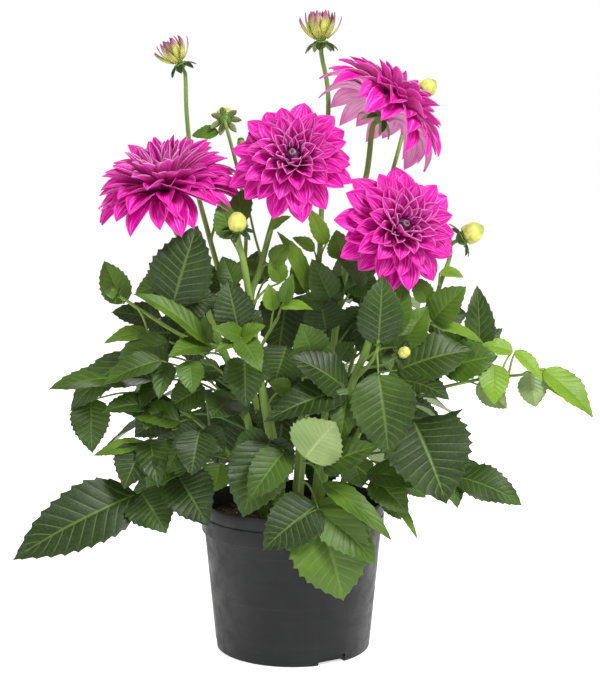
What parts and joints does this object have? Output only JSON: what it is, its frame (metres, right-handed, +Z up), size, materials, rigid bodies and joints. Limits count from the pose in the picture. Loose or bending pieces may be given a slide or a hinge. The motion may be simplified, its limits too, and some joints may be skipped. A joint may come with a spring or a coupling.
{
  "type": "potted dahlia",
  "caption": "Potted flowering dahlia plant: a round nursery pot filled with soil, with leafy stems, full double blooms and opening buds standing in it.",
  "frame": {"origin": "middle of the pot's flat base, on the plane it rests on", "axes": "+Z up along the pot's axis, -Y towards the side of the plant that the picture shows, +X to that view's right"},
  "size_m": [0.573, 0.3362, 0.6594],
  "materials": {
    "pot": "satin black moulded plastic",
    "soil": "dark crumbly potting compost of bark and peat",
    "foliage": "soft green leaf with a faint waxy sheen, paler underneath",
    "petals": "velvety magenta petal with pale streaks",
    "heart": "dark purple closed florets with pale edges",
    "buds": "pale yellow-green young petals, purple at the tips"
  },
  "bodies": {
    "root": {"pot": "pot", "soil": "soil", "stem_left_bloom": "foliage", "stem_left_low": "foliage", "stem_left_back": "foliage", "stem_centre_bloom": "foliage", "stem_front_bud": "foliage", "stem_front_low": "foliage", "stem_right_front": "foliage", "stem_right_high": "foliage", "stem_middle_bud": "foliage", "stem_right_far": "foliage", "stem_back_left": "foliage", "stem_back_right": "foliage", "petals_left": "petals", "heart_left": "heart", "petals_centre": "petals", "heart_centre": "heart", "petals_right_low": "petals", "heart_right_low": "heart", "petals_right_high": "petals", "heart_right_high": "heart", "bud_high_left": "buds", "bud_high_middle": "buds", "bud_turned": "buds", "bud_front": "buds", "bud_far": "buds", "bud_far_right": "buds", "bud_round": "buds"}
  },
  "joints": []
}
